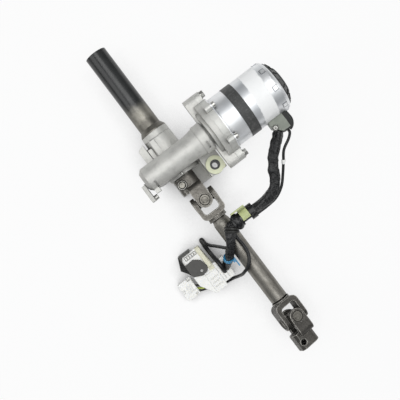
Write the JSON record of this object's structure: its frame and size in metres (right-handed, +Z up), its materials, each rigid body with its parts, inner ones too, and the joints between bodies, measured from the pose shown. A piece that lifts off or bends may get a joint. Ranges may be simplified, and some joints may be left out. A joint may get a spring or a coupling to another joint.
{
  "type": "steering column",
  "caption": "Electric power-assisted steering column: black tube, cast worm gearbox with side motor, jointed telescopic lower shaft and a loose wiring loom.",
  "frame": {"origin": "on the column's axis at the upper end of the column tube", "axes": "+Y along the column towards its upper end, +X along the motor towards its end cap, +Z up with the part lying flat"},
  "size_m": [0.2837, 0.504, 0.125],
  "materials": {
    "tube_paint": "satin black paint, worn to bare steel near the foot",
    "cast_alu": "as-cast aluminium",
    "bolt_steel": "zinc-plated steel",
    "bearing_steel": "ground bearing steel",
    "can_plate": "bright plated sheet steel",
    "dark_plastic": "matte black moulding",
    "boot_rubber": "grey-green rubber",
    "magnet": "ferrite magnet",
    "nylon_bush": "pale yellow-green nylon",
    "shaft_steel": "turned steel",
    "dark_forging": "dark forged steel",
    "rim_nylon": "natural nylon",
    "winding": "wound core",
    "loom_black": "black taped sleeving",
    "white_nylon": "white nylon",
    "cap_rubber": "dark grey rubber",
    "tie_blue": "blue nylon",
    "wire_green": "yellow-green insulation"
  },
  "bodies": {
    "housing": {"column_tube": "tube_paint", "upper_bearing": "bearing_steel", "gear_housing": "cast_alu", "lower_cover": "cast_alu", "cover_screws": "bolt_steel", "output_bearings": "bearing_steel", "torque_sensor": "dark_plastic", "sensor_cover": "cast_alu", "worm_end_cover": "cast_alu", "end_cover_bolt": "bolt_steel", "worm_bearings": "bearing_steel", "motor_flange": "cast_alu", "ear_bolts": "bolt_steel", "flange_screws": "bolt_steel", "motor_can": "can_plate", "can_band": "dark_plastic", "magnets": "magnet", "brush_holder": "dark_plastic", "motor_bearings": "bearing_steel", "motor_end_cap": "dark_plastic", "cable_boot": "boot_rubber", "mount_bush": "nylon_bush", "bush_sleeve": "shaft_steel", "loom": "loom_black", "tape_wraps": "loom_black", "harness_clip": "nylon_bush", "branch_sleeve": "loom_black", "sensor_lead": "loom_black", "marker_sleeve": "white_nylon", "thin_lead": "loom_black", "spare_leads": "loom_black", "blue_tie": "tie_blue", "main_connector": "white_nylon", "mate_connector": "white_nylon", "connector_cap": "cap_rubber", "small_connector": "white_nylon", "pigtail_wires": "wire_green"},
    "steer": {"output_shaft": "shaft_steel", "input_shaft": "shaft_steel", "torsion_bar": "shaft_steel", "wheel_hub": "shaft_steel", "worm_wheel": "rim_nylon", "upper_clamp_yoke": "shaft_steel", "upper_pinch_bolt": "bolt_steel", "upper_cups": "bearing_steel"},
    "worm": {"worm_shaft": "shaft_steel", "motor_coupling": "dark_plastic", "rotor": "winding"},
    "upper_spider": {"upper_cross": "bearing_steel"},
    "mid_shaft": {"upper_weld_yoke": "shaft_steel", "mid_cups": "bearing_steel", "mid_tube": "shaft_steel", "slide_sleeve": "rim_nylon"},
    "slider": {"inner_shaft": "shaft_steel", "lower_weld_yoke": "dark_forging", "inner_cups": "bearing_steel"},
    "lower_spider": {"lower_cross": "bearing_steel"},
    "lower_end": {"lower_clamp_yoke": "dark_forging", "lower_cups": "bearing_steel"}
  },
  "joints": [
    {"name": "steering_turn", "type": "hinge", "parent": "housing", "child": "steer", "pos_m": [0, -0.2542, 0], "axis": [0, 1, 0], "range_deg": [-270, 270]},
    {"name": "worm_spin", "type": "hinge", "parent": "housing", "child": "worm", "pos_m": [0, -0.187, 0.042], "axis": [1, 0, 0], "continuous": true},
    {"name": "upper_joint_sway", "type": "hinge", "parent": "steer", "child": "upper_spider", "pos_m": [0, -0.2542, 0], "axis": [0, 0, -1], "range_deg": [-30, 0]},
    {"name": "upper_joint_dip", "type": "hinge", "parent": "upper_spider", "child": "mid_shaft", "pos_m": [0, -0.2542, 0], "axis": [1, 0, 0], "range_deg": [0, 30]},
    {"name": "shaft_slide", "type": "slide", "parent": "mid_shaft", "child": "slider", "axis": [0, -1, 0], "range_m": [0, 0.04]},
    {"name": "lower_joint_dip", "type": "hinge", "parent": "slider", "child": "lower_spider", "pos_m": [0, -0.4595, 0], "axis": [0.9511, 0, -0.309], "range_deg": [-25, 25]},
    {"name": "lower_joint_sway", "type": "hinge", "parent": "lower_spider", "child": "lower_end", "pos_m": [0, -0.4595, 0], "axis": [0.309, 0, 0.9511], "range_deg": [-25, 25]}
  ],
  "couplings": [
    {"joint": "worm_spin", "follows": "steering_turn", "ratio": -16.5}
  ]
}
